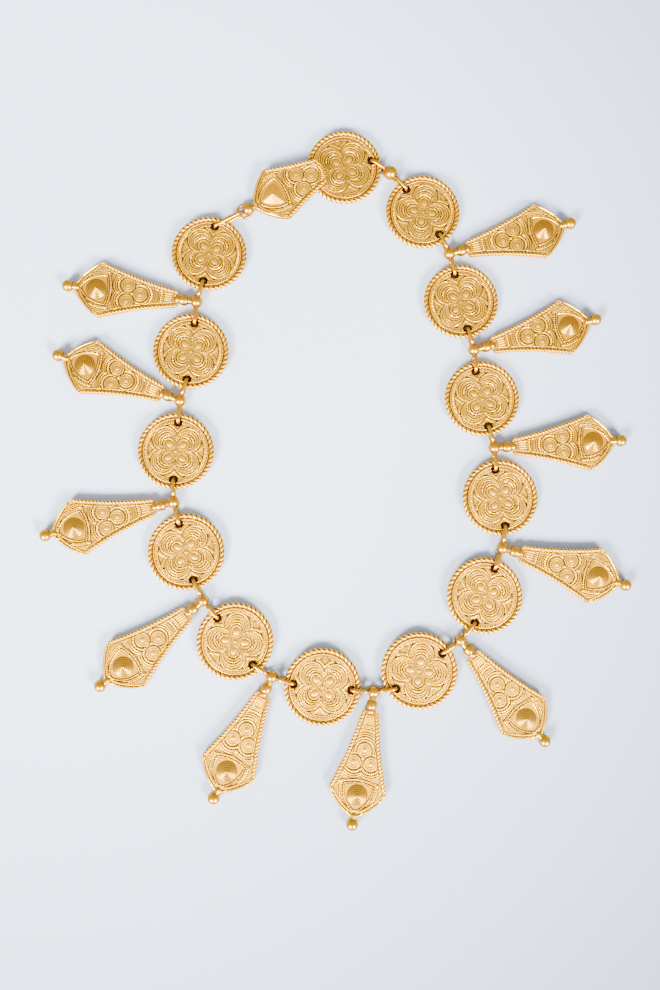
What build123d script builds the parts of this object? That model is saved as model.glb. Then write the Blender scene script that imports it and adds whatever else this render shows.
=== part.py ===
from build123d import *
import os
from collections import namedtuple
from math import atan2, cos, degrees, radians, sin, sqrt

# A cast collar necklace, fastened and laid down flat, in millimetres. It rests on z = 0 with its front up,
# and the origin is under the middle of its outer box. +Y points to the clasp.

# Wire, balls and the play between the pieces
wire = 1.1
play = 0.2
hole_play = 0.85
grip_play = 0.15
solder_sink = 0.65
ball_diameter = 4.2
link_bead_diameter = 4.9
rim_to_ball = 2.45
loop_splay = 7.0

# Medallion
medallion_diameter = 27.0
rim_thickness = 1.6
field_thickness = 1.0
rope_width = 1.7
groove_width = 0.25
hole_land = 0.35
band_width = 1.5
boss_diameter = 3.0
boss_height = 0.9
middle_bead_diameter = 1.35
spandrel_base = 7.2
spandrel_side = 4.5

# Places on the medallion, as shares of its radius
inner_bead_share = 0.4
outer_bead_share = 0.56
spandrel_share = 0.62

# Quatrefoil ridges of the medallion, from the inner one out: how far the lobes' middles lie from the
# medallion's middle, and the lobes' radius, as shares of the medallion's radius
Quatrefoil = namedtuple("Quatrefoil", "distance radius")
quatrefoils = [
    Quatrefoil(0.278, 0.207),
    Quatrefoil(0.33, 0.259),
    Quatrefoil(0.379, 0.309),
    Quatrefoil(0.422, 0.352),
]

# Raised lines and beads of the relief
ridge_width = 0.45
ridge_height = 0.35
bead_diameter = 0.9

# Drop
neck_diameter = 2.0
neck_bead_diameter = 3.7
neck_bead_length = 3.0
neck_bead_distance = 4.5
head_distance = 6.1
head_width = 6.4
head_round = 1.2
plate_length = 36.7
plate_width = 20.1
plate_thickness = 1.2
rope_rise = 0.5
side_hollow = 0.75
shoulder_to_tip = 9.0
foot_bulge = 0.35
stroke_length = 2.4
bar_length = 3.2
roundel_diameter = 5.2
roundel_gap = 0.2
roundel_boss_diameter = 2.2
roundel_boss_height = 0.5
scallop_gap = 1.1
scallop_start = 60
scallop_span = 110
fan_span = 80
shield_width = 11.0
shield_waist = 8.8
cone_diameter = 7.2
cone_height = 2.2
cone_steps = 5
tip_stem = 0.85
tip_neck_diameter = 1.4
tip_collar_diameter = 2.6
tip_ball_diameter = 4.2

# Places along the plate, as shares of its length from the head
stroke_share = 0.12
bar_share = 0.19
top_roundel_share = 0.368
diamond_share = 0.46
pair_share = 0.519
cusp_share = 0.61
shield_top_share = 0.687
shield_corner_share = 0.722
cone_share = 0.809
shield_waist_share = 0.855
shield_foot_share = 0.965

# Clasp
ring_diameter = 5.8
end_link_spacing = 10.8
clasp_plate_length = 27.7
clasp_end_round = 3.6
hook_inset = 2.3
pyramid_height = 2.0
hook_bend = 0.9
hook_foot = 4.6

# Sections of the clasp plate's pyramid, from its foot up: the size as a share of the shield about it, and the
# level as a share of the pyramid's height
PyramidSection = namedtuple("PyramidSection", "size level")
pyramid_sections = [
    PyramidSection(0.86, -0.25),
    PyramidSection(0.82, 0.1),
    PyramidSection(0.5, 0.7),
    PyramidSection(0.1, 1.0),
]

# How the pieces lie, in degrees anticlockwise from +X, from the clasp round to the clasp: each medallion from
# hole to hole, the connector after it, and the drop that the connector carries.
Lie = namedtuple("Lie", "medallion connector drop")
lies = [
    Lie(15.0, -39.5, None),
    Lie(-54.0, -69.5, 15.0),
    Lie(-77.5, -79.5, 14.5),
    Lie(-77.5, -81.5, 3.5),
    Lie(-80.5, -104.5, -16.5),
    Lie(-110.5, -137.5, -50.0),
    Lie(-143.0, -178.0, -99.5),
    Lie(-186.0, -205.0, -115.5),
    Lie(-232.5, -237.0, -140.0),
    Lie(-255.0, -262.0, -165.0),
    Lie(-274.0, -280.5, -200.0),
    Lie(-277.0, -280.5, -186.5),
    Lie(-281.0, -331.0, None),
]
clasp_lie = -331.5

# Heights: the loops, the balls and the tip balls are what touches the surface
medallion_radius = medallion_diameter / 2
ball_radius = ball_diameter / 2
link_bead_radius = link_bead_diameter / 2
tip_ball_radius = tip_ball_diameter / 2
loop_rise = rim_thickness / 2 + play + wire / 2
axis_height = max(ball_radius, tip_ball_radius, loop_rise + wire / 2)
back_height = axis_height - rim_thickness / 2
link_bead_height = max(axis_height, link_bead_radius)

# Lengths along the chain, from the wire in one hole to the wire in the next
hole_diameter = wire + 2 * hole_play
hole_inset = rope_width + hole_land + hole_diameter / 2
hole_distance = medallion_radius - hole_inset
medallion_pitch = 2 * hole_distance


def reach(radius):
    """From the middle of a ball to its loop's wire in the medallion's hole."""
    return radius + rim_to_ball + hole_inset


def connector_pitch(radius):
    return 2 * reach(radius) * cos(radians(loop_splay))


grip_distance = ball_radius + grip_play + wire / 2
hook_distance = ball_radius + tip_stem + clasp_plate_length - hook_inset
clasp_tilt = degrees(atan2(rim_thickness + play, hook_distance - hole_inset))
hook_x = hook_distance * cos(radians(clasp_tilt))
clasp_pitch = grip_distance + hook_x


def close_ring(links):
    """Turns each (length, direction) link by east * cos + north * sin of its direction, to close the ring."""
    east = 0.0
    north = 0.0
    for _ in range(8):
        turned = [a + east * cos(a) + north * sin(a) for _, a in links]
        pairs = list(zip(links, turned))
        gap_x = sum(length * cos(t) for (length, a), t in pairs)
        gap_y = sum(length * sin(t) for (length, a), t in pairs)
        x_east = sum(-length * sin(t) * cos(a) for (length, a), t in pairs)
        x_north = sum(-length * sin(t) * sin(a) for (length, a), t in pairs)
        y_east = sum(length * cos(t) * cos(a) for (length, a), t in pairs)
        y_north = sum(length * cos(t) * sin(a) for (length, a), t in pairs)
        size = x_east * y_north - x_north * y_east
        east -= (y_north * gap_x - x_north * gap_y) / size
        north -= (x_east * gap_y - y_east * gap_x) / size
    return [(length, a + east * cos(a) + north * sin(a)) for length, a in links]


def polar(x, y, distance, angle):
    """The point at a distance and an angle in degrees from x, y."""
    return x + distance * cos(radians(angle)), y + distance * sin(radians(angle))


# Lay the links end to end
links = []
for number, lie in enumerate(lies):
    links.append((medallion_pitch, radians(lie.medallion)))
    if number == 0:
        links.append((connector_pitch(link_bead_radius), radians(lie.connector)))
    elif number < len(lies) - 1:
        links.append((connector_pitch(ball_radius), radians(lie.connector)))
    else:
        links.append((end_link_spacing, radians(lie.connector)))
links.append((clasp_pitch, radians(clasp_lie)))

x = 0.0
y = 0.0
middles = []
for length, angle in close_ring(links):
    middles.append((*polar(x, y, length / 2, degrees(angle)), degrees(angle)))
    x, y = polar(x, y, length, degrees(angle))
medallion_lies = middles[0:-1:2]
connector_lies = middles[1:-2:2]
end_link_lie = middles[-2]
clasp_middle_x, clasp_middle_y, clasp_angle = middles[-1]


def ball_place(middle, radius):
    """The ball stands off its connector's straight line, away from the neck, as the loops lean inwards."""
    mid_x, mid_y, angle = middle
    return polar(mid_x, mid_y, reach(radius) * sin(radians(loop_splay)), angle + 90)


link_bead_place = ball_place(connector_lies[0], link_bead_radius)
ball_places = [ball_place(middle, ball_radius) for middle in connector_lies[1:]]
drop_angles = [lie.drop for lie in lies if lie.drop is not None]
drop_length = head_distance + plate_length + tip_stem + tip_ball_radius
tip_places = [polar(*place, drop_length, angle) for place, angle in zip(ball_places, drop_angles)]

# The middle of the outer box goes to the origin
rounds = [(px, py, medallion_radius) for px, py, angle in medallion_lies]
rounds += [(px, py, tip_ball_radius) for px, py in tip_places]
middle_x = (max(px + r for px, py, r in rounds) + min(px - r for px, py, r in rounds)) / 2
middle_y = (max(py + r for px, py, r in rounds) + min(py - r for px, py, r in rounds)) / 2


def placed(px, py, height, angle):
    """A place on the surface, seen from the middle of the outer box and turned about the vertical."""
    return Pos(px - middle_x, py - middle_y, height) * Rot(0, 0, angle)


def wire_loop(spacing):
    """A closed oval of wire on edge: two straight runs joined by half circles, spacing apart at its ends."""
    half = spacing / 2 - loop_rise
    with BuildPart() as loop:
        with BuildLine(Plane.XZ) as run:
            Line((-half, loop_rise), (half, loop_rise))
            ThreePointArc((half, loop_rise), (half + loop_rise, 0), (half, -loop_rise))
            Line((half, -loop_rise), (-half, -loop_rise))
            ThreePointArc((-half, -loop_rise), (-half - loop_rise, 0), (-half, loop_rise))
        with BuildSketch(Plane(run.line @ 0, z_dir=run.line % 0)):
            Circle(wire / 2)
        sweep(path=run.wires()[0])
    return loop.part


def dome(diameter, height):
    """A low round boss: the cap of a sphere, with a foot that sinks half its height into the metal."""
    sphere = (diameter * diameter / 4 + height * height) / (2 * height)
    foot = height / 2
    with BuildPart() as cap:
        with BuildSketch(Plane.XZ):
            with BuildLine():
                Line((0, -foot), (diameter / 2, -foot))
                Line((diameter / 2, -foot), (diameter / 2, 0))
                RadiusArc((diameter / 2, 0), (0, height), -sphere)
                Line((0, height), (0, -foot))
            make_face()
        revolve(axis=Axis.Z)
    return cap.part


# Medallion: a disc whose lowest plane is z = 0, with its holes on the x axis
groove_floor = rim_thickness - rope_width / 2
ridge_outside = medallion_radius - rope_width - groove_width
band_inside = ridge_outside - ridge_width - band_width
boss_distance = quatrefoils[0].distance * medallion_radius - ridge_width


def quatrefoil_outline(distance, radius):
    """Four overlapping lobes on the diagonals, as one filled outline."""
    with BuildSketch() as outline:
        with PolarLocations(distance, 4, start_angle=45):
            Circle(radius)
        Circle(distance / 2)
    return outline.sketch


lobe_outlines = []
for row in quatrefoils:
    lobe_distance = row.distance * medallion_radius
    lobe_radius = row.radius * medallion_radius
    outside = quatrefoil_outline(lobe_distance, lobe_radius)
    inside = quatrefoil_outline(lobe_distance, lobe_radius - ridge_width)
    lobe_outlines.append((outside, inside))
medallion_boss = dome(boss_diameter, boss_height)
with BuildPart() as medallion:
    with BuildSketch(Plane.XZ):
        with BuildLine():
            Polyline((0, 0), (medallion_radius, 0), (medallion_radius, groove_floor))
            ThreePointArc(
                (medallion_radius, groove_floor),
                (medallion_radius - rope_width / 2, rim_thickness),
                (medallion_radius - rope_width, groove_floor),
            )
            Polyline(
                (medallion_radius - rope_width, groove_floor),
                (ridge_outside, groove_floor),
                (ridge_outside, field_thickness + ridge_height),
                (ridge_outside - ridge_width, field_thickness + ridge_height),
                (ridge_outside - ridge_width, field_thickness),
                (0, field_thickness),
                (0, 0),
            )
        make_face()
    revolve(axis=Axis.Z)
    for outside, inside in lobe_outlines:
        with BuildSketch(Plane.XY.offset(field_thickness)):
            add(outside)
            add(inside, mode=Mode.SUBTRACT)
        extrude(amount=ridge_height)
    with BuildSketch(Plane.XY.offset(field_thickness)):
        for side in (90, 270):
            with Locations(polar(0, 0, spandrel_share * medallion_radius, side)):
                Triangle(a=spandrel_base, b=spandrel_side, c=spandrel_side, rotation=side + 90)
        Circle(band_inside, mode=Mode.INTERSECT)
    extrude(amount=ridge_height / 2)
    with Locations((0, 0, field_thickness)):
        with PolarLocations(boss_distance, 4, start_angle=45):
            add(medallion_boss)
        for bead_share in (inner_bead_share, outer_bead_share):
            with PolarLocations(bead_share * medallion_radius, 4):
                Sphere(bead_diameter / 2)
        Sphere(middle_bead_diameter / 2)
    with Locations((hole_distance, 0, rim_thickness / 2), (-hole_distance, 0, rim_thickness / 2)):
        Cylinder(hole_diameter / 2, 2 * rim_thickness, mode=Mode.SUBTRACT)

# Kite plate: the design that the drops and the clasp share, with x along it from the ball and z = 0 on the
# axis of the balls and necks
plate_back = back_height - axis_height
plate_top = plate_back + plate_thickness
head_x = head_distance
tip_x = head_distance + plate_length
shoulder_x = tip_x - shoulder_to_tip
side_start_x = head_x + head_round
half_head = head_width / 2
half_plate = plate_width / 2


def between(low, high, share):
    return low + (high - low) * share


def along(share):
    """A place on the plate, as a share of its length from the head."""
    return head_x + share * plate_length


def half_width(x_place):
    """Half the plate's width beside its long sides, which are hollowed by side_hollow at their middle."""
    share = (x_place - side_start_x) / (shoulder_x - side_start_x)
    return between(half_head, half_plate, share) - 4 * side_hollow * share * (1 - share)


side_middle_x = between(side_start_x, shoulder_x, 0.5)
side_middle = (side_middle_x, half_width(side_middle_x))
foot_offset = foot_bulge * sqrt(0.5)
foot_middle = (between(shoulder_x, tip_x, 0.5) + foot_offset, half_plate / 2 + foot_offset)


def mirrored(point):
    return point[0], -point[1]


shield_top_x = along(shield_top_share)
shield_corner = (along(shield_corner_share), shield_width / 2)
shield_side = (along(shield_waist_share), shield_waist / 2)
shield_foot_x = along(shield_foot_share)
cone_x = along(cone_share)
pair_x = along(pair_share)
pair_y = (roundel_diameter + roundel_gap) / 2
top_roundel_x = along(top_roundel_share)


def shield_lines(size=1.0):
    """A rounded triangle about the cone, with a bulging top and two bulging sides that meet at the foot."""
    points = [shield_corner, (shield_top_x, 0), mirrored(shield_corner), mirrored(shield_side)]
    points += [(shield_foot_x, 0), shield_side, shield_corner]
    sized = [(cone_x + (px - cone_x) * size, py * size) for px, py in points]
    for start in (0, 2, 4):
        ThreePointArc(*sized[start : start + 3])


roundel_radius = roundel_diameter / 2
roundel_boss = dome(roundel_boss_diameter, roundel_boss_height)
with BuildPart() as kite:
    with BuildSketch(Plane.XY.offset(plate_back)) as ground:
        with BuildLine():
            ThreePointArc((side_start_x, -half_head), (head_x, 0), (side_start_x, half_head))
            ThreePointArc((side_start_x, half_head), side_middle, (shoulder_x, half_plate))
            ThreePointArc((shoulder_x, half_plate), foot_middle, (tip_x, 0))
            ThreePointArc((tip_x, 0), mirrored(foot_middle), (shoulder_x, -half_plate))
            ThreePointArc((shoulder_x, -half_plate), mirrored(side_middle), (side_start_x, -half_head))
        make_face()
    extrude(amount=plate_thickness)
    for side in (1, -1):
        with BuildSketch(Plane.XY.offset(plate_top)):
            with BuildLine():
                rope_half = rope_width / 2
                ThreePointArc(
                    (side_start_x, side * (half_head - rope_half)),
                    (side_middle_x, side * (side_middle[1] - rope_half)),
                    (shoulder_x, side * (half_plate - rope_half)),
                )
            trace(line_width=rope_width)
            add(ground.sketch, mode=Mode.INTERSECT)
        extrude(amount=rope_rise)
    with BuildSketch(Plane.XY.offset(plate_top)):
        with BuildLine():
            shield_lines()
        trace(line_width=ridge_width)
    extrude(amount=ridge_height)
    for side in (1, -1):
        with BuildSketch(Plane.XY.offset(plate_top)):
            with BuildLine():
                scallop_radius = roundel_radius + scallop_gap
                CenterArc((pair_x, side * pair_y), scallop_radius, -side * scallop_start, side * scallop_span)
            trace(line_width=ridge_width)
        extrude(amount=ridge_height)
    with BuildSketch(Plane.XY.offset(plate_top)):
        with Locations((pair_x, pair_y), (pair_x, -pair_y), (top_roundel_x, 0)):
            Circle(roundel_radius)
            Circle(roundel_radius - ridge_width, mode=Mode.SUBTRACT)
    extrude(amount=ridge_height)
    for step in (1, 2):
        with BuildSketch(Plane.XY.offset(plate_top)):
            with BuildLine():
                fan_radius = roundel_radius + step * 2 * ridge_width
                CenterArc((top_roundel_x, 0), fan_radius, 180 - fan_span / 2, fan_span)
            trace(line_width=ridge_width)
        extrude(amount=ridge_height)
    with Locations((pair_x, pair_y, plate_top), (pair_x, -pair_y, plate_top), (top_roundel_x, 0, plate_top)):
        add(roundel_boss)
    with Locations(
        (along(diamond_share), 0, plate_top),
        (along(cusp_share), 0, plate_top),
        (*shield_corner, plate_top),
        (*mirrored(shield_corner), plate_top),
        (shield_foot_x, 0, plate_top),
    ):
        Sphere(bead_diameter / 2)

with BuildPart() as cone:
    with BuildSketch(Plane.XZ):
        with BuildLine():
            stairs = [(0, -plate_thickness / 2)]
            for step in range(cone_steps):
                step_radius = between(cone_diameter / 2, ridge_width, step / cone_steps)
                stairs.append((step_radius, stairs[-1][1]))
                stairs.append((step_radius, cone_height * (step + 1) / cone_steps))
            stairs.append((0, cone_height))
            Polyline(stairs, close=True)
        make_face()
    revolve(axis=Axis.Z)

# Drop: the kite plate with its cone and strokes, the neck with its bead, and the tip ball on its collar
bead_start = neck_bead_distance - neck_bead_length / 2
bead_end = neck_bead_distance + neck_bead_length / 2
neck_radius = neck_diameter / 2
with BuildPart() as pendant:
    add(kite.part)
    with Locations((cone_x, 0, plate_top)):
        add(cone.part)
    with BuildSketch(Plane.XY.offset(plate_top)):
        with Locations((along(stroke_share), 0)):
            with GridLocations(0, 2 * ridge_width, 1, 3):
                Rectangle(stroke_length, ridge_width)
        with Locations((along(bar_share), 0)):
            Rectangle(ridge_width, bar_length)
    extrude(amount=ridge_height)
    with BuildSketch(Plane.XZ):
        with BuildLine():
            Polyline((0, 0), (0, neck_radius), (bead_start, neck_radius))
            bead_middle = (neck_bead_distance, neck_bead_diameter / 2)
            ThreePointArc((bead_start, neck_radius), bead_middle, (bead_end, neck_radius))
            Polyline((bead_end, neck_radius), (side_start_x, neck_radius), (side_start_x, 0), (0, 0))
        make_face()
    revolve(axis=Axis.X)
    with BuildSketch(Plane.XZ):
        with BuildLine():
            Polyline(
                (tip_x - tip_stem, 0),
                (tip_x - tip_stem, tip_neck_diameter / 2),
                (drop_length - tip_ball_radius / 2, tip_collar_diameter / 2),
                (drop_length, 0),
                close=True,
            )
        make_face()
    revolve(axis=Axis.X)
    with Locations((drop_length, 0, 0)):
        Sphere(tip_ball_radius)
    Sphere(ball_radius)


def near_end(radius):
    """From the middle of a ball to the near end of the loop that is soldered to its side."""
    return radius + wire / 2 - solder_sink


def loop_places(place, angle, radius):
    """Both loops of a ball lean towards the neck, so that they end in the holes on either side."""
    middle_distance = (near_end(radius) + reach(radius)) / 2
    both = (angle - loop_splay, angle + 180 + loop_splay)
    return [placed(*place, axis_height, lean) * Pos(middle_distance, 0, 0) for lean in both]


os.makedirs("parts", exist_ok=True)

for number, (px, py, angle) in enumerate(medallion_lies):
    with BuildPart() as disc:
        with Locations(placed(px, py, back_height, angle)):
            add(medallion.part)
    disc.part.label = f"medallion_{number:02d}" if number else "clasp_medallion"
    export_step(disc.part, f"parts/{disc.part.label}.step")

ball_loop = wire_loop(reach(ball_radius) - near_end(ball_radius))
for number, (place, drop_angle) in enumerate(zip(ball_places, drop_angles), start=1):
    with BuildPart() as drop:
        with Locations(placed(*place, axis_height, drop_angle)):
            add(pendant.part)
        with Locations(*loop_places(place, connector_lies[number][2], ball_radius)):
            add(ball_loop)
    drop.part.label = f"drop_{number:02d}"
    export_step(drop.part, f"parts/{drop.part.label}.step")

bead_loop = wire_loop(reach(link_bead_radius) - near_end(link_bead_radius))
with BuildPart() as link_bead:
    with Locations(placed(*link_bead_place, link_bead_height, 0)):
        Sphere(link_bead_radius)
    with Locations(*loop_places(link_bead_place, connector_lies[0][2], link_bead_radius)):
        add(bead_loop)
link_bead.part.label = "link_bead"
export_step(link_bead.part, "parts/link_bead.step")

long_loop = wire_loop(end_link_spacing)
with BuildPart() as end_link:
    with Locations(placed(end_link_lie[0], end_link_lie[1], axis_height, end_link_lie[2])):
        add(long_loop)
end_link.part.label = "end_link"
export_step(end_link.part, "parts/end_link.step")

# Clasp plate: the same kite cut short above its trefoil and turned end for end, so that its foot is at the
# ball. It is tilted: its ball is on the surface and its narrow end lies over the clasp medallion's rim.
clasp_cut_x = tip_x - clasp_plate_length
clasp_turn = tip_x + tip_stem + ball_radius
with BuildPart() as pyramid:
    for size, level in pyramid_sections:
        with BuildSketch(Plane.XY.offset(level * pyramid_height)):
            with BuildLine():
                shield_lines(size)
            make_face()
    loft(ruled=True)

with BuildPart() as short_kite:
    add(kite.part)
    with Locations((0, 0, plate_top)):
        add(pyramid.part)
    with BuildSketch(Plane.XY.offset(-plate_width)):
        with BuildLine():
            round_end = ThreePointArc(
                (clasp_cut_x + clasp_end_round, -half_plate),
                (clasp_cut_x, 0),
                (clasp_cut_x + clasp_end_round, half_plate),
            )
            Polyline(round_end @ 1, (clasp_turn, half_plate), (clasp_turn, -half_plate), round_end @ 0)
        make_face()
    extrude(amount=2 * plate_width, mode=Mode.INTERSECT)

hook_top = hook_distance * sin(radians(clasp_tilt)) + plate_back + plate_thickness / 2
ring_radius = (ring_diameter - wire) / 2
ring_x = -(grip_distance + grip_play + wire - ring_radius)
stem_end = ball_radius + 2 * tip_stem
tilted = Rot(0, -clasp_tilt, 0)
clasp_x, clasp_y = polar(clasp_middle_x, clasp_middle_y, grip_distance - clasp_pitch / 2, clasp_angle)
with BuildPart() as clasp_master:
    with Locations(tilted * Pos(clasp_turn, 0, 0) * Rot(0, 0, 180)):
        add(short_kite.part)
    with BuildSketch(Plane.XZ):
        with BuildLine():
            Polyline((0, 0), (0, neck_radius), (stem_end, tip_neck_diameter / 2), (stem_end, 0), close=True)
        make_face()
    revolve(axis=Axis.X)
    Sphere(ball_radius)
    with Locations((ring_x, 0, 0)):
        Torus(ring_radius, wire / 2)
    with BuildLine(Plane.XZ) as hook_line:
        Line((hook_x, hook_top), (hook_x, hook_bend - loop_rise))
        ThreePointArc(
            (hook_x, hook_bend - loop_rise),
            (hook_x - hook_bend * (1 - sqrt(0.5)), hook_bend * (1 - sqrt(0.5)) - loop_rise),
            (hook_x - hook_bend, -loop_rise),
        )
        Line((hook_x - hook_bend, -loop_rise), (hook_x - hook_foot, -loop_rise))
    with BuildSketch(Plane(hook_line.line @ 0, z_dir=hook_line.line % 0)):
        Circle(wire / 2)
    sweep(path=hook_line.wires()[0])

with BuildPart() as clasp_plate:
    with Locations(placed(clasp_x, clasp_y, axis_height, clasp_angle)):
        add(clasp_master.part)
clasp_plate.part.label = "clasp_plate"
export_step(clasp_plate.part, "parts/clasp_plate.step")
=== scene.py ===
import math
from collections import namedtuple

import bpy
import numpy as np
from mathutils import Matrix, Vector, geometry


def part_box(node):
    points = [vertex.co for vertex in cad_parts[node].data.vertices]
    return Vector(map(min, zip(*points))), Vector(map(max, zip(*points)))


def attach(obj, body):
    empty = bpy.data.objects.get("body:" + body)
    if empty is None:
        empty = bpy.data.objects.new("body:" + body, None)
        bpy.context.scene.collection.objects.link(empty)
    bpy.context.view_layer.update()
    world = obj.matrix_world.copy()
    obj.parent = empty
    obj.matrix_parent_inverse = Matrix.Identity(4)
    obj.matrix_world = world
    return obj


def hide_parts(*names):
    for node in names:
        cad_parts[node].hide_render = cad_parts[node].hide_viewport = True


# A cast, gold-plated collar necklace that lies closed on a pale surface. Each piece is worked out in
# millimetres about its own middle, then laid down in its place in metres.
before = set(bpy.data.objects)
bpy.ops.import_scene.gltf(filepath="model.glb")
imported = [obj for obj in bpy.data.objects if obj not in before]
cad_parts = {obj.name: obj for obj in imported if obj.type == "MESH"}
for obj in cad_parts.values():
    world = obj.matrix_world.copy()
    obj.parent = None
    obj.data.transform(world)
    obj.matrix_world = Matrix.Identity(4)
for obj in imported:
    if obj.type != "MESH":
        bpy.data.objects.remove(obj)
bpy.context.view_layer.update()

# THE LIE OF THE NECKLACE
# The discs, the balls between them and the clasp are hooked end to end into a ring. How each lies, in
# degrees anticlockwise from +X, is given, and all are then turned a little to close the ring.
millimetres = 1000
wire = 1.1
play = 0.2
disc_diameter = 27.0
disc_thickness = 1.6
disc_radius = disc_diameter / 2
hole_radius = 1.4
hole_distance = 10.05
rim_to_ball = 2.45
loop_splay = 7.0
ball_radius = 2.1
link_bead_radius = 2.45
end_link_spacing = 10.8
plate_start = 6.1
plate_end = 42.8
tip_stem = 0.85
tip_ball_radius = 2.1
clasp_plate_length = 27.7
hook_inset = 2.3
grip_distance = 2.8
clasp_lie = -331.5
closing_rounds = 8
Lie = namedtuple("Lie", "disc connector drop")
lies = [
    Lie(15.0, -39.5, None),
    Lie(-54.0, -69.5, 15.0),
    Lie(-77.5, -79.5, 14.5),
    Lie(-77.5, -81.5, 3.5),
    Lie(-80.5, -104.5, -16.5),
    Lie(-110.5, -137.5, -50.0),
    Lie(-143.0, -178.0, -99.5),
    Lie(-186.0, -205.0, -115.5),
    Lie(-232.5, -237.0, -140.0),
    Lie(-255.0, -262.0, -165.0),
    Lie(-274.0, -280.5, -200.0),
    Lie(-277.0, -280.5, -186.5),
    Lie(-281.0, -331.0, None),
]
loop_rise = disc_thickness / 2 + play + wire / 2
axis_height = ball_radius
back_height = axis_height - disc_thickness / 2
hole_inset = disc_radius - hole_distance
hook_distance = ball_radius + tip_stem + clasp_plate_length - hook_inset
clasp_tilt = math.atan2(disc_thickness + play, hook_distance - hole_inset)
clasp_pitch = grip_distance + hook_distance * math.cos(clasp_tilt)


def reach(radius):
    """From the middle of a ball to its loop's wire in the disc's hole."""
    return radius + rim_to_ball + hole_inset


def closed(lengths, angles):
    """Turns each link by east * cos + north * sin of its direction. East and north are solved for by
    Newton's rule, until the ring closes."""
    turn, now = np.zeros(2), angles
    for _ in range(closing_rounds):
        gap = np.array([(lengths * np.cos(now)).sum(), (lengths * np.sin(now)).sum()])
        to_side = np.array([-lengths * np.sin(now), lengths * np.cos(now)])
        slope = to_side @ np.array([np.cos(angles), np.sin(angles)]).T
        turn = turn - np.linalg.solve(slope, gap)
        now = angles + turn[0] * np.cos(angles) + turn[1] * np.sin(angles)
    return now


def ahead(place, distance, angle):
    """The point at a distance and an angle in radians from a place."""
    return place + distance * np.array([math.cos(angle), math.sin(angle)])


link_lengths = []
link_angles = []
for number, lie in enumerate(lies):
    radius = link_bead_radius if number == 0 else ball_radius
    pitch = 2 * reach(radius) * math.cos(math.radians(loop_splay))
    last = number == len(lies) - 1
    link_lengths += [2 * hole_distance, end_link_spacing if last else pitch]
    link_angles += [math.radians(lie.disc), math.radians(lie.connector)]
link_lengths = np.array(link_lengths + [clasp_pitch])
link_angles = closed(link_lengths, np.array(link_angles + [math.radians(clasp_lie)]))
steps = link_lengths[:, None] * np.stack([np.cos(link_angles), np.sin(link_angles)], axis=1)
link_middles = np.cumsum(steps, axis=0) - steps / 2
disc_middles = link_middles[0:-1:2]
disc_angles = link_angles[0:-1:2]
low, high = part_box("medallion_01")
origin = disc_middles[1] - millimetres * np.array([low.x + high.x, low.y + high.y]) / 2


def laid(place, height, angle):
    """The 4 by 4 matrix that lays a piece down at a place of the ring, turned by an angle in radians."""
    matrix = np.eye(4)
    matrix[:2, :2] = [[math.cos(angle), -math.sin(angle)], [math.sin(angle), math.cos(angle)]]
    matrix[:2, 3] = place - origin
    matrix[2, 3] = height
    return matrix


def shifted(x, y, z):
    """The 4 by 4 matrix of a shift."""
    matrix = np.eye(4)
    matrix[:3, 3] = x, y, z
    return matrix


# MEDALLIONS
# Thirteen round discs cast in a brass alloy from one mould and gold plated. Each has a border of twisted
# wire, a band of ticks, nested quatrefoils round four bosses, and two drilled holes for the loops.
no_triangles = np.zeros((0, 3), int)
optional = (no_triangles, None, False)
Part = namedtuple("Part", "points quads worn triangles etched polished", defaults=optional)
Line = namedtuple("Line", "at height half_width")
Cut = namedtuple("Cut", "at depth")
Wave = namedtuple("Wave", "count height shift")
plain = 0.5
grime_and_shade = -0.2
# The two gains below: hollows get painted shade and ridges a painted highlight, with some patina and wear.
hollow_shade_gain = 10.5
ridge_highlight_gain = 3.6
smoothing_rounds = 3
no_line = [0.5, 1.0, 0.0]
least_gap = 0.44
guard = 2.0

field_height = 1.0
rope_radius = 0.85
rope_pitch = 1.77
rope_steps = 388
rope_sides = 12
field_radius = disc_radius - rope_radius
strand_waist = 0.6
strand_round = 0.6
strand_plain = 0.75
strand_shade_gain = 1.1
end_taper = 0.35

disc_rings = 56
lobe_start = np.array([3.75, 2.62])
lobe_step = np.array([1.95, 1.7])
lobe_ridges = [Line(-0.2, 0.14, 0.24), Line(-0.01, 0.36, 0.28), Line(0.5, 0.24, 0.38)]
lobe_ridges += [Line(0.72, 0.22, 0.38), Line(0.97, 0.36, 0.38)]
chevrons = [Line(1.26, 0.24, 0.32), Line(1.52, 0.2, 0.32)]
chevron_reach = 3.2
chevron_fade = 0.6
lobe_grooves = [Line(-0.13, 0.24, 0.22), Line(0.1, 0.16, 0.2), Line(1.11, 0.3, 0.24)]
lobe_ticks = 36
lobe_tick = Line(0.23, 0.3, 0.38)
lobe_tick_foot = 0.02
boss_field = -0.8
boss_distance = 3.4
boss_length = 1.45
boss_width = 1.2
boss_dome = 0.28
boss_ring = Line(1.36, 0.1, 0.26)
middle_dome = 0.22
middle_radius = 0.7
axis_beads = [Line(5.15, 0.44, 0.48), Line(6.1, 0.26, 0.28), Line(6.8, 0.26, 0.28), Line(7.4, 0.36, 0.4)]
band_inside = 10.0
band_outside = 11.0
band_step = 0.05
band_slope = 0.2
band_ticks = 110
band_height = 0.34
tick_foot = 0.05
rim_ridges = [Line(band_inside, 0.24, 0.16), Line(11.27, 0.3, 0.3)]
gutter = Line(11.78, 0.02, 0.16)
flaw_waves = [Wave(3, 1.0, 1.0), Wave(7, 0.8, 2.3), Wave(13, 0.6, 4.1)]
flaw_from, flaw_to = 0.7, 1.8
flaw_depth = 0.5
cast_step = 1.7
lobe_cuts = [Cut(-0.13, 1.0), Cut(0.1, 0.3), Cut(0.39, 0.6)]
lobe_cuts += [Cut(0.61, 0.3), Cut(0.84, 0.3), Cut(1.11, 1.0)]
boss_cuts = [Cut(0.72, 0.15), Cut(1.12, 0.4), Cut(1.58, 0.25)]
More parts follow.
